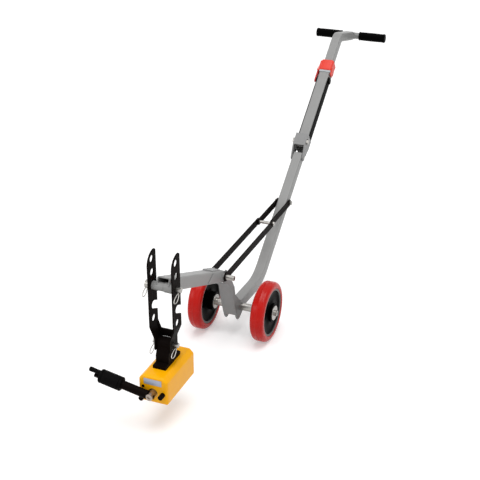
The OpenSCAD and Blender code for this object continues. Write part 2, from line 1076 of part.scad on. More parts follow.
module axle_bush() {
    color(grey_paint)
        at_axle()
            difference() {
                bar_x(bush_out_d, low_w);
                bar_x(axle_d + 2 * fit, 2 * low_w);
            }
}

// Bolt through the lower tube that carries the upper straps
module strap_bolt() {
    end_x = up_strap_x + strap_t + side_gap;
    color(zinc)
        on_handle()
            translate([0, strap_at, 0]) {
                bar_x(strap_bolt_d, 2 * end_x + 14);
                both_sides() {
                    hex_x(13, end_x, 7);
                    difference() {
                        bar_x(18, up_strap_x - low_w / 2 - side_gap,
                            (up_strap_x + low_w / 2 - side_gap) / 2);
                        bar_x(strap_bolt_d - 1, 60);
                    }
                }
            }
}

module upper_straps() {
    hole = strap_bolt_d + 2 * fit;
    color(black_paint)
        translate([0, strap_y, strap_z])
            rotate([strap_slope + 180, 0, 0])
                both_sides()
                    across(up_strap_x, up_strap_x + strap_t)
                        strap_outline(up_strap, strap_w, hole);
}

// Rod between the two upper straps at the folding knuckle
module knuckle_rod() {
    color(zinc)
        at_pivot()
            rotate([strap_slope, 0, 0])
                translate([0, low_strap, 0])
                    union() {
                        bar_x(strap_bolt_d + 3, 2 * up_strap_x);
                        bar_x(strap_bolt_d + 2 * fit, 2 * (up_strap_x + strap_t));
                    }
}

module lower_straps() {
    color(black_paint)
        at_pivot()
            rotate([strap_slope, 0, 0])
                both_sides()
                    difference() {
                        across(low_strap_x, strap_out)
                            difference() {
                                union() {
                                    translate([0, -strap_w / 2])
                                        square([low_strap, strap_w]);
                                    circle(d = strap_w + 4);
                                    translate([low_strap, 0])
                                        circle(d = strap_w);
                                }
                                circle(d = pivot_pin_d + 2 * fit);
                                translate([low_strap, 0])
                                    circle(d = strap_bolt_d);
                            }
                    }
}

// Bolt heads and nuts on the outside of the lower straps
module knuckle_nuts() {
    color(zinc)
        at_pivot()
            rotate([strap_slope, 0, 0])
                translate([0, low_strap, 0])
                    both_sides() {
                        hex_x(13, strap_out, knuckle_nut_t);
                        bar_x(strap_bolt_d, strap_t + knuckle_nut_t + 0.5,
                            low_strap_x + (strap_t + knuckle_nut_t + 0.5) / 2);
                    }
}

// Its lower end has a lip on the underside that reaches towards the lower tube
module upper_tube() {
    lip_len = fold_gap - 9;
    color(grey_paint)
        on_handle()
            union() {
                square_tube(up_w, up_wall, up_start, up_end);
                translate([-up_w / 2 + 4, up_start - lip_len, -up_w / 2])
                    cube([up_w - 8, lip_len + 20, up_wall]);
            }
}

// Outline of the bracket's cheek in the handle's Y-Z plane
module cheek_outline() {
    tip_r = fold_pin_d / 2 + 7;
    web_end = up_start + bracket_web_len;
    difference() {
        union() {
            translate([fold_at, fold_pin_off])
                circle(r = tip_r);
            polygon([[fold_at - tip_r * 0.5, fold_pin_off + tip_r * 0.866], [up_start - 3, web_off],
                [web_end, web_off], [web_end, -up_w / 2 + 2], [up_start + 12, -up_w / 2 + 2],
                [fold_at + tip_r * 0.5, fold_pin_off - tip_r * 0.866]]);
        }
        translate([fold_at, fold_pin_off])
            circle(d = fold_pin_d);
        translate([up_start + 17, up_w / 2 + 8])
            circle(d = 10);
    }
}

// U-shaped bracket fixed to the upper tube; the lower tube turns in its tips
module fold_bracket() {
    web_end = up_start + bracket_web_len;
    color(grey_paint)
        on_handle() {
            both_sides()
                across(up_w / 2, bracket_x)
                    cheek_outline();
            translate([-up_w / 2, up_start - 3, web_off - bracket_t])
                cube([up_w, bracket_web_len + 3, bracket_t]);
            translate([-up_w / 2, web_end - bracket_t, up_w / 2])
                cube([up_w, bracket_t, bracket_rise - bracket_t]);
        }
}

module bracket_bolt() {
    color(zinc)
        on_handle()
            translate([0, up_start + 17, up_w / 2 + 8]) {
                bar_x(10, 2 * bracket_x + 10);
                both_sides()
                    hex_x(17, bracket_x, 6);
            }
}

module fold_pin() {
    color(steel)
        on_handle()
            translate([0, fold_at, fold_pin_off])
                bar_x(fold_pin_d, 2 * bracket_x + 3);
}

// Black strips on both flanks of the upper tube, each with a thumb tab
module side_guards() {
    guard_start = up_start + bracket_web_len + 2;
    guard_end = collar_start - 20;
    half = up_w / 2 - 4;
    tab = 24;
    color(black_paint)
        on_handle()
            both_sides() {
                across(up_w / 2, up_w / 2 + guard_t)
                    union() {
                        translate([guard_start, -half])
                            square([guard_end - guard_start - half, 2 * half]);
                        translate([guard_end - half, 0])
                            circle(r = half);
                    }
                translate([up_w / 2 + guard_t, guard_end - half, 0])
                    rotate([0, 90, 0])
                        cylinder(d = tab, h = 4);
            }
}

module mouth_sleeve() {
    color("#a9b2b8")
        on_handle()
            along(collar_start - 8, collar_start)
                difference() {
                    square(up_w + 4, center = true);
                    round_square(up_w, 4);
                }
}

// The collar has lugs for the clamp pin on its left flank
module clamp_collar() {
    lip_start = up_end + 0.2;
    color("#d23b2c")
        on_handle()
            difference() {
                union() {
                    along(collar_start, collar_end)
                        round_square(collar_w, 8);
                    translate([collar_w / 2 - 3, collar_start - 14, -8])
                        cube([4.4, 30, 22]);
                    for (z = [-15, 9])
                        translate([-collar_w / 2 - 9, collar_start, z])
                            cube([12, clamp_lug_len, 6]);
                    across(-collar_w / 2 - 6, -collar_w / 2 + 3)
                        polygon([[clamp_at + 9, -15], [collar_end - 8, -15], [collar_end, -8],
                            [collar_end, 8], [collar_end - 8, 15], [clamp_at + 9, 15]]);
                }
                along(collar_start - 40, lip_start)
                    round_square(up_w, 4);
                along(collar_start, collar_end + 5)
                    square(in_w + 0.6, center = true);
                translate([-collar_w / 2 - clamp_x, clamp_at, 0])
                    cylinder(d = 4, h = 60, center = true);
            }
}

module clamp_pin() {
    color(zinc)
        on_handle()
            translate([-collar_w / 2 - clamp_x, clamp_at, 0])
                cylinder(d = 4, h = 31, center = true);
}

module clamp_lever() {
    pin_y = clamp_at;
    lever_end = collar_start - 44;
    color("#8d1410")
        on_handle()
            difference() {
                union() {
                    translate([-collar_w / 2 - clamp_x, pin_y, -8.5])
                        cylinder(d = 8, h = 17);
                    translate([-collar_w / 2 - clamp_x - 4, lever_end + 8, -8.5])
                        cube([5, pin_y - lever_end - 8, 17]);
                    translate([-collar_w / 2 - clamp_x - 4, lever_end + 8.5, 0])
                        rotate([0, 90, 0])
                            cylinder(d = 17, h = 5);
                }
                translate([-collar_w / 2 - clamp_x, pin_y, 0])
                    cylinder(d = 4 + 2 * fit, h = 60, center = true);
            }
}

module inner_tube() {
    tangent = in_bend_r * tan(in_bend / 2);
    color(grey_paint)
        difference() {
            union() {
                on_handle()
                    square_tube(in_w, in_wall, up_end - in_depth, in_bend_at - tangent);
                on_handle()
                    translate([0, in_bend_at - tangent, 0])
                        mirror([0, 0, 1])
                            tube_bend(in_w, in_wall, in_bend_r, in_bend);
                on_stub()
                    square_tube(in_w, in_wall, tangent + 0.02, stub_len);
            }
            on_stub()
                translate([0, stub_len, 0])
                    bar_x(tbar_d, 3 * in_w);
            for (end = [-1, 1])
                on_stub()
                    translate([0, stub_len - 22, end * (in_w / 2 + 9)])
                        rotate([-end * 20, 0, 0])
                            translate([-in_w, 0, -10])
                                cube([2 * in_w, 60, 20]);
        }
}

module t_bar() {
    color(grey_paint)
        on_stub()
            translate([0, stub_len, 0])
                difference() {
                    bar_x(tbar_d, tbar_len - 8);
                    bar_x(tbar_d - 5, tbar_len);
                }
}

module grip(side) {
    color(black_paint)
        on_stub()
            translate([0, stub_len, 0])
                difference() {
                    union() {
                        bar_x(grip_d, grip_len - 3, side * (tbar_len / 2 - grip_len / 2 - 1.5));
                        bar_x(grip_d - 6, grip_len, side * (tbar_len / 2 - grip_len / 2));
                    }
                    bar_x(tbar_d, tbar_len - 8);
                }
}

axle();
wheel_washers();
axle_bolts();
tyre(-1);  // tyre_left
wheel_core(-1);  // wheel_core_left
hub_covers(-1);  // hub_covers_left
bearings(-1);  // bearings_left
tyre(1);  // tyre_right
wheel_core(1);  // wheel_core_right
hub_covers(1);  // hub_covers_right
bearings(1);  // bearings_right
side_plate(-1);  // side_plate_left
side_plate(1);  // side_plate_right
front_web();
knuckle_sleeve();
pivot_pin();
arm_tube();
arm_doubler();
cross_tube();
fork_pin();
fork_pin_clips();
tine(-1);  // tine_left
tine(1);  // tine_right
fork_web();
lug_pin();
lug_pin_clips();
magnet_lug();
magnet_housing();
front_cover();
rear_cover();
cover_screws();
rotor_core();
rotor_magnets();
rotor_shaft();
shaft_bushes();
lever_stops();
label_plate();
lever_rod();
lever_grip();
lock_button();
lower_tube();
axle_bush();
strap_bolt();
upper_straps();
knuckle_rod();
lower_straps();
knuckle_nuts();
upper_tube();
fold_bracket();
bracket_bolt();
fold_pin();
side_guards();
mouth_sleeve();
clamp_collar();
clamp_pin();
clamp_lever();
inner_tube();
t_bar();
grip(-1);  // grip_left
grip(1);  // grip_right
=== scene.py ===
# Looks of a magnetic manhole cover lifter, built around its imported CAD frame.
# X runs along the axle, -Y is the magnet end, +Y the handle end and Z is up.
import math

import bmesh
import bpy
from mathutils import Matrix, Vector


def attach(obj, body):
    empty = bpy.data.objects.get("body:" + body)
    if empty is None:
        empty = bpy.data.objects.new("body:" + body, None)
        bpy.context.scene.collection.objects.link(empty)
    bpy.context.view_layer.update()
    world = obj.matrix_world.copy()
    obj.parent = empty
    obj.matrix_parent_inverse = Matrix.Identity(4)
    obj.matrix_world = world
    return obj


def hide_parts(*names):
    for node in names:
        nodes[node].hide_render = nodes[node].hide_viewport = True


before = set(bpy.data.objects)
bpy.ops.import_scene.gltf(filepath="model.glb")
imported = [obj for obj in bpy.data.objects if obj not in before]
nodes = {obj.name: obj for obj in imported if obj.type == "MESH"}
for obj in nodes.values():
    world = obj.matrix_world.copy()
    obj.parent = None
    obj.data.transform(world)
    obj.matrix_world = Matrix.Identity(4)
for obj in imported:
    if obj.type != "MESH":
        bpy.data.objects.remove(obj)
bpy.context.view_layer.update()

MM = 0.001

# ---------------------------------------------------------------- Tyres
# Two cast polyurethane tyres, bonded to their wheel cores. The tread is
# nearly flat between round shoulders, with the mould's parting line round
# its middle and a shallow step beside the rim. The red surface is glossy.


def linear(hex_colour):
    """An sRGB hex colour as linear RGBA."""
    parts = [int(hex_colour[i:i + 2], 16) / 255 for i in (1, 3, 5)]
    return [c / 12.92 if c <= 0.04045 else ((c + 0.055) / 1.055) ** 2.4 for c in parts] + [1]


def add(owner, kind, sockets=(), links=(), **options):
    """Adds a shader node with its settings and its links from other nodes."""
    made = owner.node_tree.nodes.new("ShaderNode" + kind)
    for name, value in options.items():
        setattr(made, name, value)
    for name, value in dict(sockets).items():
        made.inputs[name].default_value = value
    join(owner, made, dict(links))
    return made


def join(owner, node, links):
    """Links outputs of other nodes to this node's inputs."""
    for name, (source, output) in links.items():
        owner.node_tree.links.new(source.outputs[output], node.inputs[name])


def new_finish(name):
    """An empty material with its shader and the place on the surface."""
    material = bpy.data.materials.new(name)
    material.use_nodes = True
    shader = material.node_tree.nodes["Principled BSDF"]
    return material, shader, add(material, "TexCoord")


# the Mix node's colour sockets and the Map Range node's output range
COLOUR_A, COLOUR_B, COLOUR_OUT = 6, 7, 2
TO_MIN, TO_MAX = 3, 4


def finish(name, light, dark, patch_mm, grain_mm, depth_mm, rough, spread, levels=()):
    """Two close tones in patches, a fine grain in the bump, and uneven gloss."""
    material, shader, place = new_finish(name)
    patch = add(material, "TexNoise", {"Scale": 1 / (patch_mm * MM), "Detail": 5, "Roughness": 0.6},
                {"Vector": (place, "Object")})
    tone = add(material, "Mix", {COLOUR_A: linear(dark), COLOUR_B: linear(light)}, {0: (patch, 0)},
               data_type="RGBA")
    grain = add(material, "TexNoise", {"Scale": 1 / (grain_mm * MM), "Detail": 2},
                {"Vector": (place, "Object")})
    bump = add(material, "Bump", {"Strength": 0.6, "Distance": depth_mm * MM}, {"Height": (grain, 0)})
    gloss = add(material, "MapRange", {TO_MIN: rough - spread, TO_MAX: rough + spread}, {0: (patch, 0)})
    join(material, shader, {"Base Color": (tone, COLOUR_OUT), "Normal": (bump, 0),
                            "Roughness": (gloss, 0)})
    for socket, value in dict(levels).items():
        shader.inputs[socket].default_value = value
    return material


def put(name, data):
    """A new object of this data, in the scene."""
    made = bpy.data.objects.new(name, data)
    bpy.context.scene.collection.objects.link(made)
    return made


def solid(name, mesh, material, sharp=32):
    """An object of a finished mesh, smooth but for its sharp edges."""
    form = bmesh.new()
    form.from_mesh(mesh)
    bmesh.ops.recalc_face_normals(form, faces=form.faces)
    form.to_mesh(mesh)
    form.free()
    mesh.materials.clear()
    mesh.materials.append(material)
    mesh.shade_smooth()
    mesh.set_sharp_from_angle(angle=math.radians(sharp))
    return put(name, mesh)


def skin(name, rings, material, wrap=False):
    """Covers closed rings of points in mm, one after another, with a closed skin."""
    count = len(rings[0])
    mesh = bpy.data.meshes.new(name)
    spans = len(rings) if wrap else len(rings) - 1
    faces = []
    for i in range(spans):
        a, b = i * count, (i + 1) % len(rings) * count
        faces += [(a + j, a + (j + 1) % count, b + (j + 1) % count, b + j) for j in range(count)]
    if not wrap:
        faces += [tuple(range(count))[::-1], tuple(range(len(rings) * count - count, len(rings) * count))]
    mesh.from_pydata([Vector(p) * MM for ring in rings for p in ring], [], faces)
    return solid(name, mesh, material)


def turned(name, path, at, material, steps=96, wrap=True):
    """A turned part: the path is (place along local X, radius) in mm."""
    rings = []
    for x, radius in path:
        turns = [2 * math.pi * k / steps for k in range(steps)]
        rings.append([at @ Vector((x, radius * math.cos(a), radius * math.sin(a))) for a in turns])
    return skin(name, rings, material, wrap)


polyurethane = finish("cast_polyurethane", "#c61a12", "#b0130d", 28, 1.4, 0.05, 0.26, 0.06,
                      {"Specular IOR Level": 0.16, "Coat Weight": 0.02, "Coat Roughness": 0.15})

WHEEL_R = 99
WHEEL_MID = 108
TYRE_HALF = 23
CORE_R = 79
SHOULDER = 13
arc = [math.radians(t) for t in range(0, 91, 9)]
crown = [(TYRE_HALF - SHOULDER + SHOULDER * math.sin(t),
          WHEEL_R - SHOULDER + (SHOULDER - 0.2) * math.cos(t)) for t in arc]
parting_line = [(0.3, WHEEL_R), (0.7, WHEEL_R - 0.2)]
step = [(TYRE_HALF, 85), (TYRE_HALF - 0.7, 84), (TYRE_HALF - 0.7, CORE_R + 0.02)]
half_tread = parting_line + crown + step
tread = [(-x, r) for x, r in reversed(half_tread)] + half_tread
for side, word in ((-1, "left"), (1, "right")):
    at_wheel = Matrix.Translation((side * WHEEL_MID, 0, WHEEL_R))
    tyre = turned("tyre_band_" + word, tread, at_wheel, polyurethane, 160)
    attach(tyre, "wheel_" + word)
    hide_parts("tyre_" + word)

# ---------------------------------------------------------------- Wheel cores
# Cast iron cores with a grey rim, a black hub and black dust covers pressed
# in on both faces. The hub is longer than the tyre is wide, most of it
# inwards. Bearings sit in its ends, behind the washers.

cast_iron = finish("painted_cast_iron", "#5a5856", "#4a4846", 18, 0.9, 0.12, 0.45, 0.08)
gloss_black = finish("moulded_black_plastic", "#060606", "#030303", 20, 0.8, 0.03, 0.2, 0.06,
                     {"Specular IOR Level": 0.006})

# outlines as (place along the axle from the wheel's middle, radius)
RIM = [(-21, 73.2), (-20.2, 72), (20.2, 72), (21, 73.2), (21, 78.2), (20.4, 78.95), (-20.4, 78.95),
       (-21, 78.2)]
HUB = [(-37, 23.6), (-37, 29.3), (-35.8, 30.5), (-8, 30.5), (-8, 71.9), (8, 71.9), (8, 30.5), (24.8, 30.5),
       (26, 29.3), (26, 23.6), (14, 23.6), (14, 15.5), (-25, 15.5), (-25, 23.6)]
COVER = [(13.6, 30.7), (19.4, 30.7), (19, 32.6), (17, 37), (16.1, 46), (16.2, 58), (17.2, 64), (18.4, 67.5),
         (18.2, 69.5), (16.8, 71.8), (13.6, 71.8)]
for side, word in ((-1, "left"), (1, "right")):
    at_wheel = Matrix.Translation((side * WHEEL_MID, 0, WHEEL_R))
    rim = turned("wheel_rim_" + word, RIM, at_wheel, cast_iron, 128)
    hub = turned("wheel_hub_" + word, [(side * x, r) for x, r in HUB], at_wheel, gloss_black, 96)
    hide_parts("wheel_core_" + word)
    covers = []
    for face in (-1, 1):
        end = "outer" if face == side else "inner"
        dish = [(face * x, r) for x, r in COVER]
        cover = turned(f"dust_cover_{end}_{word}", dish, at_wheel, gloss_black, 128)
        covers.append(cover)
    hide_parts("hub_covers_" + word)
    for piece in [rim, hub] + covers:
        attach(piece, "wheel_" + word)

# ---------------------------------------------------------------- Axle and bright steel
# The turned axle, washers, bolts, nuts and pins are zinc plated steel: bright,
# a little uneven, with fine turning marks round them. CAD nodes keep their
# shapes and get their small edge breaks here.


def dress(name, material, edge_mm):
    """Gives a CAD node its finish and a small rounding on its edges."""
    piece = nodes[name]
    for holder in piece.material_slots:
        holder.material = material
    weld = piece.modifiers.new("joined_points", "WELD")
    weld.merge_threshold = 0.01 * MM
    edges = piece.modifiers.new("soft_edges", "BEVEL")
    edges.width = edge_mm * MM
    edges.segments = 2
    edges.limit_method = "ANGLE"
    edges.angle_limit = math.radians(36)
    shading = piece.modifiers.new("even_shading", "WEIGHTED_NORMAL")
    shading.keep_sharp = False
    return piece


zinc = finish("zinc_plated_steel", "#b5b3af", "#8f8c87", 9, 0.5, 0.03, 0.3, 0.08, {"Metallic": 1})
for name in ("axle", "wheel_washers", "axle_bolts", "bearings_left", "bearings_right", "pivot_pin",
             "fork_pin", "lug_pin", "strap_bolt", "knuckle_rod", "knuckle_nuts", "bracket_bolt", "fold_pin",
             "cover_screws"):
    dress(name, zinc, 0.7)
dress("clamp_pin", zinc, 0.4)

# ---------------------------------------------------------------- Welded steel frame
# Square tubes, laser cut plates and turned sleeves, welded and then powder
# coated light grey. The coat is satin with a fine orange peel, and it rounds
# every edge a little.

powder_coat = finish("grey_powder_coat", "#929291", "#858584", 70, 1.6, 0.06, 0.42, 0.05)
for name in ("arm_tube", "lower_tube", "upper_tube", "inner_tube", "t_bar", "cross_tube", "axle_bush",
             "knuckle_sleeve"):
    dress(name, powder_coat, 0.5)
# the plates carry the same grey coat, painted a shade darker: painted shade for the shade on their flanks
shaded_plate_coat = finish("grey_powder_coat_plate_painted_shade", "#898989", "#7c7c7c", 50, 1.6, 0.06, 0.42, 0.05)
for name in ("side_plate_left", "side_plate_right", "front_web", "fold_bracket", "arm_doubler"):
    dress(name, shaded_plate_coat, 0.8)

# ---------------------------------------------------------------- Weld beads
# Beads of the frame's main joints, under the same grey coat. Each is a row of
# overlapping ripples about 1.5 mm apart.


def final_mesh(piece):
    """The piece's mesh with its modifiers applied."""
    bpy.context.view_layer.update()
    return bpy.data.meshes.new_from_object(piece.evaluated_get(bpy.context.evaluated_depsgraph_get()))


def wire(name, points, radius, material, closed=False, ripple=0.0):
    """A round wire or bead through points in mm."""
    curve = bpy.data.curves.new(name, "CURVE")
    curve.dimensions = "3D"
    curve.bevel_depth = radius * MM
    curve.bevel_resolution = 3
    curve.use_fill_caps = True
    line = curve.splines.new("POLY")
    line.points.add(len(points) - 1)
    line.use_cyclic_u = closed
    for k, (drawn, point) in enumerate(zip(line.points, points)):
        drawn.co = (*(Vector(point) * MM), 1)
        drawn.radius = 1 - ripple * (k % 3 == 0)
    path = put(name + "_path", curve)
    mesh = final_mesh(path)
    bpy.data.objects.remove(path)
    return solid(name, mesh, material, 60)


def along(points, spacing=0.5):
    """Evenly spaced points on the polyline through these."""
    dense = []
    for a, b in zip(points, points[1:]):
        a, b = Vector(a), Vector(b)
        count = max(1, round((b - a).length / spacing))
        dense += [a.lerp(b, k / count) for k in range(count)]
    return dense + [Vector(points[-1])]


def ring_part(x, radius, start, end):
    """Part of a circle about local X, from one angle to the other, degrees."""
    turns = [math.radians(start + (end - start) * k / 36) for k in range(37)]
    return [Vector((x, radius * math.cos(a), radius * math.sin(a))) for a in turns]


ARM_RISE = math.radians(22.7)
PIVOT_Y, PIVOT_Z = -140, 277
at_pivot = Matrix.Translation((0, PIVOT_Y, PIVOT_Z))
on_arm = at_pivot @ Matrix.Rotation(-ARM_RISE, 4, "X")
FORK_Y, FORK_Z = -504.185, 419.586
at_fork = Matrix.Translation((0, FORK_Y, FORK_Z))
at_cross = at_fork @ Matrix.Rotation(-ARM_RISE, 4, "X")

# the handle's tube: a nearly level foot, the long straight and the top's stub
FOOT_DROOP = math.radians(1.9)
FOOT_LEN = 200
HANDLE_RISE = math.radians(38)
HANDLE_BEND_AT = 1051
STUB_TURN = math.radians(49.3)
STUB_LEN = 184
at_bush = Matrix.Translation((0, 0, WHEEL_R)) @ Matrix.Rotation(-FOOT_DROOP, 4, "X")
foot_end = (0, FOOT_LEN * math.cos(FOOT_DROOP), WHEEL_R - FOOT_LEN * math.sin(FOOT_DROOP))
on_handle = Matrix.Translation(foot_end) @ Matrix.Rotation(HANDLE_RISE, 4, "X")
on_stub = on_handle @ Matrix.Translation((0, HANDLE_BEND_AT, 0)) @ Matrix.Rotation(-STUB_TURN, 4, "X")
at_tee = on_stub @ Matrix.Translation((0, STUB_LEN, 0))

KNUCKLE_R = 18.4
flank = [(math.sqrt(KNUCKLE_R ** 2 - z * z), z) for z in range(12, -13, -2)]
arm_seam = ([(-16.5, -10.5, 17.5), (16.5, -10.5, 17.5), (18.8, -11.5, 15.5)]
            + [(18.9, -y, z) for y, z in flank]
            + [(18.8, -11.5, -15.5), (16.5, -10.5, -17.5), (-16.5, -10.5, -17.5), (-18.8, -11.5, -15.5)]
            + [(-18.9, -y, z) for y, z in reversed(flank)]
            + [(-18.8, -11.5, 15.5), (-16.5, -10.5, 17.5)])
# the outer faces that the beads lie on, and the radii of their rings
PLATE_FACE, PLATE_RING = 22.2, 18.8
ARM_FACE, CROSS_RING = 19.2, {"left": 13.1, "right": 14.6}
STUB_FACE, TEE_RING = 16.6, 13.2
FOOT_FACE, FOOT_HALF = 17.3, 16
beads = [("weld_arm", on_arm, arm_seam, 2.0, "chassis")]
for side, word in ((-1, "left"), (1, "right")):
    round_pin = ring_part(side * PLATE_FACE, PLATE_RING, -120, 38)
    round_cross = ring_part(side * ARM_FACE, CROSS_RING[word], -80, 160)
    round_tee = ring_part(side * STUB_FACE, TEE_RING, 112, 248)
    beads += [("weld_plate_" + word, at_pivot, round_pin, 1.3, "chassis"),
              ("weld_cross_" + word, at_cross, round_cross, 1.7, "chassis"),
              ("weld_tee_" + word, at_tee, round_tee, 1.7, "telescope")]
for z, word in ((-FOOT_FACE, "below"), (FOOT_FACE, "above")):
    across = [(-FOOT_HALF, 6.4, z), (FOOT_HALF, 6.4, z)]
    beads.append(("weld_bush_" + word, at_bush, across, 1.6, "lower_handle"))
for name, at, points, radius, body in beads:
    bead = wire(name, along([at @ Vector(p) for p in points]), radius, powder_coat, ripple=0.16)
    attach(bead, body)

# ---------------------------------------------------------------- Fork, straps and lug
# Flat steel, cut, bent and coated satin black. The coat looks brownish where
# light grazes it and is slightly rubbed by handling.

black_coat = finish("black_powder_coat", "#150f0d", "#090605", 16, 1.2, 0.06, 0.42, 0.1,
                    {"Specular IOR Level": 0.015})
for name in ("tine_left", "tine_right", "fork_web", "magnet_lug"):
    dress(name, black_coat, 0.9)
for name in ("upper_straps", "lower_straps", "lever_rod", "lever_stops", "lock_button"):
    dress(name, black_coat, 0.6)

# ---------------------------------------------------------------- Wire clips
# Spring wire clips, 2.6 mm thick, that hold the fork pin and the lug pin. One
# leg passes through the pin and the loop hangs forward. The fork pin's head
# carries a plain pull ring.

CLIP_WIRE = 2.6
CLIP_LOOP = 31
CLIP_HALF = 4.5
CLIP_LEAN = Matrix.Rotation(math.radians(-52), 4, "X")
LUG_Z = 242.586
at_lug = Matrix.Translation((0, FORK_Y, LUG_Z))
round_turn = [2 * math.pi * k / 48 for k in range(48)]


def clip_path(reach):
    """A leg through the pin and a drop shaped loop below it, in local X-Z."""
    leg = [(0, 0, reach * (1 - k / 6)) for k in range(12)]
    loop = [(CLIP_HALF * math.sin(a) * (1 - 0.28 * math.cos(a)), 0,
             -reach - CLIP_LOOP / 2 * (1 - math.cos(a))) for a in round_turn]
    return leg + loop + [(0, 0.4, -reach + 0.3)]


# each clip's pin, its place along the pin, the leg's half length and the node
pins = (("fork_clip", at_fork, 47, 10, "fork_pin_clips"),
        ("lug_clip_right", at_lug, 33.5, 9, "lug_pin_clips"),
        ("lug_clip_left", at_lug, -33.5, 9, None))
for name, at_pin, x, reach, node in pins:
    at = at_pin @ Matrix.Translation((x, 0, 0)) @ CLIP_LEAN
    clip = wire(name, [at @ Vector(p) for p in clip_path(reach)], CLIP_WIRE / 2, zinc)
    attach(clip, "fork")
    if node:
        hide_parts(node)

RING_X = -48.9
RING_DROP = 25
RING_HALF = 14.5
at = at_fork @ Matrix.Translation((RING_X, 0, 0)) @ CLIP_LEAN
oval = [at @ Vector((CLIP_HALF * math.sin(a), 0,
                     -RING_DROP + RING_HALF * math.cos(a) * (1 + 0.08 * math.sin(a) ** 2)))
        for a in round_turn]
pull_ring = wire("fork_pull_ring", oval, CLIP_WIRE / 2, zinc, closed=True)
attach(pull_ring, "fork")

# ---------------------------------------------------------------- Magnet block
# A machined steel housing with two bolted end covers, sprayed with yellow
# enamel. Its long top edges are chamfered and all the edges are softened by
# filler and paint. The printed words of the real one are left off.

enamel = finish("yellow_enamel", "#ffb800", "#f6a800", 24, 1.1, 0.07, 0.34, 0.06,
                {"Specular IOR Level": 0.2})

MAGNET_HALF = 44
MAGNET_HIGH = 85
MAGNET_CHAMFER = 13
MAGNET_END = 89.5
COVER_T = 12
ROTOR_UP = 33
CORNER = 7
SHAFT_BORE = 14.5
ROTOR_BORE = 26
FOOT_Z = 98.586
at_magnet = Matrix.Translation((0, FORK_Y, FOOT_Z))


def block_ring(y, inset, corner=CORNER):
    """The housing's outline in X-Z at one Y, inset all round, with round corners."""
    shift = inset * (math.sqrt(2) - 1)
    half, low, high = MAGNET_HALF - inset, inset, MAGNET_HIGH - inset
    chamfer = MAGNET_HIGH - MAGNET_CHAMFER - shift
    top = MAGNET_HALF - MAGNET_CHAMFER - shift
    corners = [(half, low), (half, chamfer), (top, high), (-top, high), (-half, chamfer), (-half, low)]
    ring = []
    for k, here in enumerate(corners):
        here = Vector(here)
        before = (Vector(corners[k - 1]) - here).normalized()
        after = (Vector(corners[(k + 1) % 6]) - here).normalized()
        # the chamfer's blunt corners are rounded less than the square ones
        cut = corner * (1 if abs(before.dot(after)) < 0.1 else 0.6)
        start, end = here + before * cut, here + after * cut
        for part in range(7):
            t = part / 6
            point = start * (1 - t) ** 2 + here * 2 * t * (1 - t) + end * t * t
            ring.append(at_magnet @ Vector((point.x, y, point.y)))
    return ring


def cut_out(piece, cutter):
    """Takes the cutter's shape out of a piece."""
    hole = piece.modifiers.new("bore", "BOOLEAN")
    hole.operation = "DIFFERENCE"
    hole.object = cutter
    hole.solver = "EXACT"
    mesh = final_mesh(piece)
    piece.modifiers.clear()
    piece.data = mesh
    mesh.set_sharp_from_angle(angle=math.radians(32))
    bpy.data.objects.remove(cutter)
    return piece


END_ROUND = 7
quarter = [math.radians(t) for t in range(0, 91, 10)]
eased = [(MAGNET_END - END_ROUND + END_ROUND * math.sin(t), END_ROUND * (1 - math.cos(t)))
         for t in quarter]
seam = MAGNET_END - COVER_T
at_rotor = at_magnet @ Matrix.Translation((0, 0, ROTOR_UP))
along_rotor = at_rotor @ Matrix.Rotation(math.radians(90), 4, "Z")
for face, word in ((-1, "front"), (1, "rear")):
    rings = [block_ring(face * (seam + 0.05), 0.3), block_ring(face * (seam + 0.35), 0)]
    rings += [block_ring(face * y, inset, CORNER - inset * 0.5) for y, inset in eased]
    shell = skin("magnet_cover_" + word, rings, enamel)
    through = [(face * 60, SHAFT_BORE), (face * 100, SHAFT_BORE)]
    bore = turned("bore", through, along_rotor, enamel, 64, wrap=False)
    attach(cut_out(shell, bore), "magnet")
    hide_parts(word + "_cover")
rings = [block_ring(y, inset)
         for y, inset in ((-seam, 0.3), (-seam + 0.3, 0), (seam - 0.3, 0), (seam, 0.3))]
housing = skin("magnet_block", rings, enamel)
through = [(-90, ROTOR_BORE), (90, ROTOR_BORE)]
bore = turned("bore", through, along_rotor, enamel, 64, wrap=False)
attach(cut_out(housing, bore), "magnet")
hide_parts("magnet_housing")

# ---------------------------------------------------------------- Label plate
# A bare aluminium plate, brushed across, with a cool silver tone. It carries
# nothing: the maker's print is left off.

brushed, shader, place = new_finish("brushed_aluminium")
stretch = add(brushed, "Mapping", {"Scale": (1, 40, 40)}, {"Vector": (place, "Object")})
# brush lines about 0.4 mm apart
lines = add(brushed, "TexNoise", {"Scale": 1 / (16 * MM), "Detail": 4}, {"Vector": (stretch, 0)})
tone = add(brushed, "Mix", {COLOUR_A: linear("#8f96a8"), COLOUR_B: linear("#b4bac8")}, {0: (lines, 0)},
           data_type="RGBA")
grooves = add(brushed, "Bump", {"Strength": 0.4, "Distance": 0.03 * MM}, {"Height": (lines, 0)})
join(brushed, shader, {"Base Color": (tone, COLOUR_OUT), "Normal": (grooves, 0)})
shader.inputs["Metallic"].default_value = 0.85
shader.inputs["Roughness"].default_value = 0.38
dress("label_plate", brushed, 0.3)

# ---------------------------------------------------------------- Rotor
# The magnet's inside: turned steel halves, a magnet block between them,
# bronze bushes, and the shaft, whose end stands out in front as a steel boss.

turned_steel = finish("turned_steel", "#b3a89d", "#8d8278", 6, 0.5, 0.03, 0.34, 0.08, {"Metallic": 1})
bronze = finish("turned_bronze", "#b98f4f", "#9d7539", 6, 0.5, 0.02, 0.32, 0.06, {"Metallic": 1})
nickel = finish("nickel_plated_magnet", "#8a8a90", "#77777d", 12, 0.6, 0.02, 0.25, 0.05, {"Metallic": 1})
dress("rotor_shaft", turned_steel, 1.0)
dress("rotor_core", turned_steel, 0.5)
dress("shaft_bushes", bronze, 0.4)
dress("rotor_magnets", nickel, 0.5)

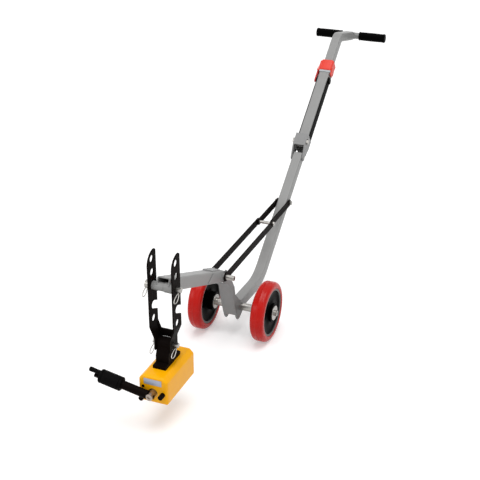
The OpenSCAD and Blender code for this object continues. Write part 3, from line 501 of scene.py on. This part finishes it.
# ---------------------------------------------------------------- Lever grip
# A moulded rubber grip pushed onto the lever rod: two smooth end bands, a
# knurled body of 4.8 mm diamonds, and a fixed tip beside the lock button.

rubber = finish("moulded_rubber", "#111010", "#070606", 10, 0.9, 0.05, 0.45, 0.08,
                {"Specular IOR Level": 0.02})

LEVER_Y = -105.5
LEVER_LEN = 157
LEVER_TURN = math.radians(190.5)
LEVER_GRIP_LEN = 69
BUTTON_UP, BUTTON_BORE = 6, 5.7
TIP_DOWN = 9
on_lever = at_rotor @ Matrix.Translation((0, LEVER_Y, 0)) @ Matrix.Rotation(LEVER_TURN, 4, "Y")
grip_start = LEVER_LEN - LEVER_GRIP_LEN
core_end = LEVER_LEN - 36
TEETH = 24
DIAMOND = 4.8
GRIP_STEPS = 192
# the outline as (place along the lever, radius, height of the knurl)
path = [(core_end, 7.1, 0), (grip_start, 7.1, 0), (grip_start, 16.5, 0), (grip_start + 0.8, 18.9, 0),
        (grip_start + 2.4, 20.2, 0), (grip_start + 6, 20.4, 0), (grip_start + 7, 19.1, 0),
        (grip_start + 8, 18.8, 0)]
path += [(grip_start + 9 + 0.6 * k, 19.6, 0.85) for k in range(84)]
path += [(LEVER_LEN - 9, 18.8, 0), (LEVER_LEN - 8, 19.3, 0), (LEVER_LEN - 6.5, 20.4, 0),
         (LEVER_LEN - 2.6, 20.3, 0), (LEVER_LEN - 0.8, 19, 0), (LEVER_LEN, 16.8, 0)]
rings = []
for x, radius, tooth in path:
    ring = []
    swing = x * 2 * math.pi / DIAMOND
    for k in range(GRIP_STEPS):
        a = 2 * math.pi * k / GRIP_STEPS
        height = abs(math.sin((TEETH * a + swing) / 2)) * abs(math.sin((TEETH * a - swing) / 2))
        r = radius + tooth * height
        ring.append(on_lever @ Vector((x, r * math.cos(a), r * math.sin(a))))
    rings.append(ring)
grip = skin("lever_hand_grip", rings, rubber)
at_button = on_lever @ Matrix.Translation((0, 0, BUTTON_UP))
through = [(core_end + 1, BUTTON_BORE), (LEVER_LEN + 10, BUTTON_BORE)]
cut_out(grip, turned("bore", through, at_button, rubber, 40, wrap=False))
at_tip = on_lever @ Matrix.Translation((0, 0, -TIP_DOWN))
tip_path = [(LEVER_LEN - 4, 6.2), (LEVER_LEN + 1, 6.6), (LEVER_LEN + 24, 6.6), (LEVER_LEN + 25.5, 7),
            (LEVER_LEN + 32, 7), (LEVER_LEN + 35, 5.8), (LEVER_LEN + 36, 3.6)]
tip = turned("lever_tip", tip_path, at_tip, rubber, 48, wrap=False)
for piece in (grip, tip):
    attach(piece, "switch")
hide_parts("lever_grip")

# ---------------------------------------------------------------- T-bar grips
# Two soft vinyl grips pushed onto the T-bar, closed at their outer ends, with
# a flange at the inner end and a slight swell in the middle.

vinyl = finish("dipped_vinyl", "#080808", "#040404", 14, 0.8, 0.04, 0.36, 0.07,
               {"Specular IOR Level": 0.01})

GRIP_IN = 36
GRIP_OUT = 141
swell = [(GRIP_IN + 9 + 7 * k, 16.1 + 0.55 * math.sin(math.pi * k / 12)) for k in range(13)]
inner_end = [(GRIP_OUT - 4.2, 12.55), (GRIP_IN, 12.55), (GRIP_IN, 15.8), (GRIP_IN + 0.8, 16.9),
             (GRIP_IN + 3, 17), (GRIP_IN + 4.2, 16.2), (GRIP_IN + 6, 15.9)]
outer_end = [(GRIP_OUT - 9, 16.2), (GRIP_OUT - 7.5, 16.9), (GRIP_OUT - 3, 16.9), (GRIP_OUT - 1.2, 16.1),
             (GRIP_OUT - 0.2, 14.2), (GRIP_OUT, 11.5)]
for side, word in ((-1, "left"), (1, "right")):
    outline = [(side * x, r) for x, r in inner_end + swell + outer_end]
    grip = turned("hand_grip_" + word, outline, at_tee, vinyl, 64, wrap=False)
    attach(grip, "telescope")
    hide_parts("grip_" + word)

# ---------------------------------------------------------------- Side guards
# Thin moulded strips on both flanks of the upper tube, matt black, each with
# a round thumb tab at its upper end.

matt_black = finish("moulded_matt_plastic", "#0b0b0b", "#060606", 20, 1.0, 0.05, 0.5, 0.06,
                    {"Specular IOR Level": 0.015})
dress("side_guards", matt_black, 0.9)

# ---------------------------------------------------------------- Clamp
# A red nylon collar on the upper tube's mouth, over a grey plastic sleeve,
# with a side skirt on the right. A darker red lever on the left turns on a
# pin between two lugs.

nylon = finish("red_nylon", "#ec4434", "#de3828", 16, 0.9, 0.06, 0.38, 0.06, {"Specular IOR Level": 0.3})
dark_nylon = finish("dark_red_nylon", "#c8180e", "#ae100a", 12, 0.9, 0.05, 0.36, 0.06,
                    {"Specular IOR Level": 0.3})
sleeve_plastic = finish("grey_plastic", "#b2babd", "#a6aeb2", 14, 0.9, 0.04, 0.45, 0.05)


def square_ring(y, half, corner, at):
    """A round cornered square in local X-Z at one place along local Y."""
    reach = math.sqrt(2) * (half - corner)
    ring = []
    for side in range(4):
        turn = math.radians(90 * side + 45)
        for part in range(7):
            a = math.radians(90 * side + 15 * part)
            ring.append(at @ Vector((reach * math.cos(turn) + corner * math.cos(a), y,
                                     reach * math.sin(turn) + corner * math.sin(a))))
    return ring


def soft_block(name, low, high, radius, at, material):
    """A block between two corners in mm, with round edges."""
    form = bmesh.new()
    bmesh.ops.create_cube(form, size=1)
    low, high = Vector(low), Vector(high)
    for vert in form.verts:
        vert.co = Vector(((v + 0.5) * (h - g) + g for v, g, h in zip(vert.co, low, high)))
    bmesh.ops.bevel(form, geom=form.edges[:], offset=radius, segments=3, affect="EDGES", profile=0.5)
    for vert in form.verts:
        vert.co = at @ vert.co * MM
    mesh = bpy.data.meshes.new(name)
    form.to_mesh(mesh)
    form.free()
    return solid(name, mesh, material)


COLLAR_START = 880
COLLAR_END = 926
# inside, the collar clears the sliding tube above the sleeve and holds the sleeve below
SLEEVE_END = 885.3
TUBE_CLEAR = 16.9
SLEEVE_CLEAR = 19.1
outside = [(COLLAR_START, 21.6), (COLLAR_START + 0.8, 23), (COLLAR_START + 3, 24), (COLLAR_START + 12, 24),
           (COLLAR_START + 20, 23.3), (COLLAR_START + 30, 23.4), (COLLAR_START + 39, 24),
           (COLLAR_END - 3, 23.8), (COLLAR_END - 1, 22.8), (COLLAR_END, 21.2)]
rings = [square_ring(y, half, 7, on_handle) for y, half in outside]
rings += [square_ring(COLLAR_END, TUBE_CLEAR, 2, on_handle),
          square_ring(SLEEVE_END, TUBE_CLEAR, 2, on_handle),
          square_ring(SLEEVE_END, SLEEVE_CLEAR, 4.1, on_handle),
          square_ring(COLLAR_START, SLEEVE_CLEAR, 4.1, on_handle)]
collar = skin("collar_body", rings, nylon, wrap=True)
lug_end = COLLAR_START + 16
blocks = [("collar_skirt", (20.5, COLLAR_START - 14, -8), (25.4, lug_end, 14), 2.2),
          ("collar_lug_low", (-33, COLLAR_START, -15), (-21, lug_end, -9), 1.6),
          ("collar_lug_high", (-33, COLLAR_START, 9), (-21, lug_end, 15), 1.6),
          ("collar_flank", (-30, lug_end + 1, -15), (-21, COLLAR_END, 15), 3)]
pieces = [collar] + [soft_block(name, low, high, radius, on_handle, nylon)
                     for name, low, high, radius in blocks]
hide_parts("clamp_collar")
for piece in pieces:
    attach(piece, "upper_handle")
dress("mouth_sleeve", sleeve_plastic, 0.8)
dress("clamp_lever", dark_nylon, 1.4)

# ---------------------------------------------------------------- Floor, light and camera
# A white studio floor that keeps soft shadows, a broad soft sun from above
# with two weak area lamps, and a camera at the photograph's angle.


def rays_seen(owner):
    """1 on camera, glossy and transmission rays, and 0 on the others."""
    paths = add(owner, "LightPath")
    seen = add(owner, "Math", {}, {0: (paths, "Is Camera Ray"), 1: (paths, "Is Glossy Ray")},
               operation="MAXIMUM")
    return add(owner, "Math", {}, {0: (seen, 0), 1: (paths, "Is Transmission Ray")}, operation="MAXIMUM")


WHITE = linear("#ffffff")
FLOOR_HALF = 12
floor_mesh = bpy.data.meshes.new("floor")
floor_corners = [(x * FLOOR_HALF, y * FLOOR_HALF, 0) for x, y in ((-1, -1), (1, -1), (1, 1), (-1, 1))]
floor_mesh.from_pydata(floor_corners, [], [(0, 1, 2, 3)])
floor = put("floor", floor_mesh)
studio = bpy.data.materials.new("studio_floor")
studio.use_nodes = True
studio.node_tree.nodes.clear()
lift = add(studio, "Math", {1: 0.32}, {0: (rays_seen(studio), 0)}, operation="MULTIPLY")
glow = add(studio, "Emission", {"Color": WHITE}, {"Strength": (lift, 0)})
matt = add(studio, "BsdfDiffuse", {"Color": linear("#e8e8e8")})
both = add(studio, "AddShader", {}, {0: (matt, 0), 1: (glow, 0)})
add(studio, "OutputMaterial", {}, {"Surface": (both, 0)})
floor_mesh.materials.append(studio)

world = bpy.data.worlds.new("studio")
bpy.context.scene.world = world
world.use_nodes = True
world.node_tree.nodes.clear()
lamp_sky = add(world, "Background", {"Color": WHITE, "Strength": 0.42})
seen_sky = add(world, "Background", {"Color": WHITE, "Strength": 1.0})
sky = add(world, "MixShader", {}, {0: (rays_seen(world), 0), 1: (lamp_sky, 0), 2: (seen_sky, 0)})
add(world, "OutputWorld", {}, {"Surface": (sky, 0)})

sun = bpy.data.lights.new("key", "SUN")
sun.energy = 1.9
sun.angle = math.radians(44)
put("key", sun).rotation_euler = Vector((-0.1, 0.12, -1)).to_track_quat("-Z", "Y").to_euler()
LAMP_AIM = Vector((0, 0.1, 0.35))
for name, spot, power, width in (("front", (-1.5, -2.1, 1.8), 12, 1.1), ("side", (2.7, -0.9, 1.3), 8, 1.6)):
    area = bpy.data.lights.new(name, "AREA")
    area.energy = power
    area.size = width
    lamp = put(name, area)
    lamp.location = spot
    lamp.rotation_euler = (LAMP_AIM - Vector(spot)).to_track_quat("-Z", "Y").to_euler()

AZIMUTH = math.radians(22.3)
ELEVATION = math.radians(25.9)
DISTANCE = 3.345
toward = Vector((math.sin(AZIMUTH) * math.cos(ELEVATION), -math.cos(AZIMUTH) * math.cos(ELEVATION),
                 math.sin(ELEVATION)))
target = Vector((-0.0362, 0.1279, 0.2710))
lens = bpy.data.cameras.new("camera")
lens.lens = 75.75
lens.sensor_width = 36
lens.clip_end = 60
camera = put("camera", lens)
camera.location = target + toward * DISTANCE
camera.rotation_euler = (-toward).to_track_quat("-Z", "Y").to_euler()
bpy.context.scene.camera = camera
bpy.context.scene.view_settings.view_transform = "Standard"
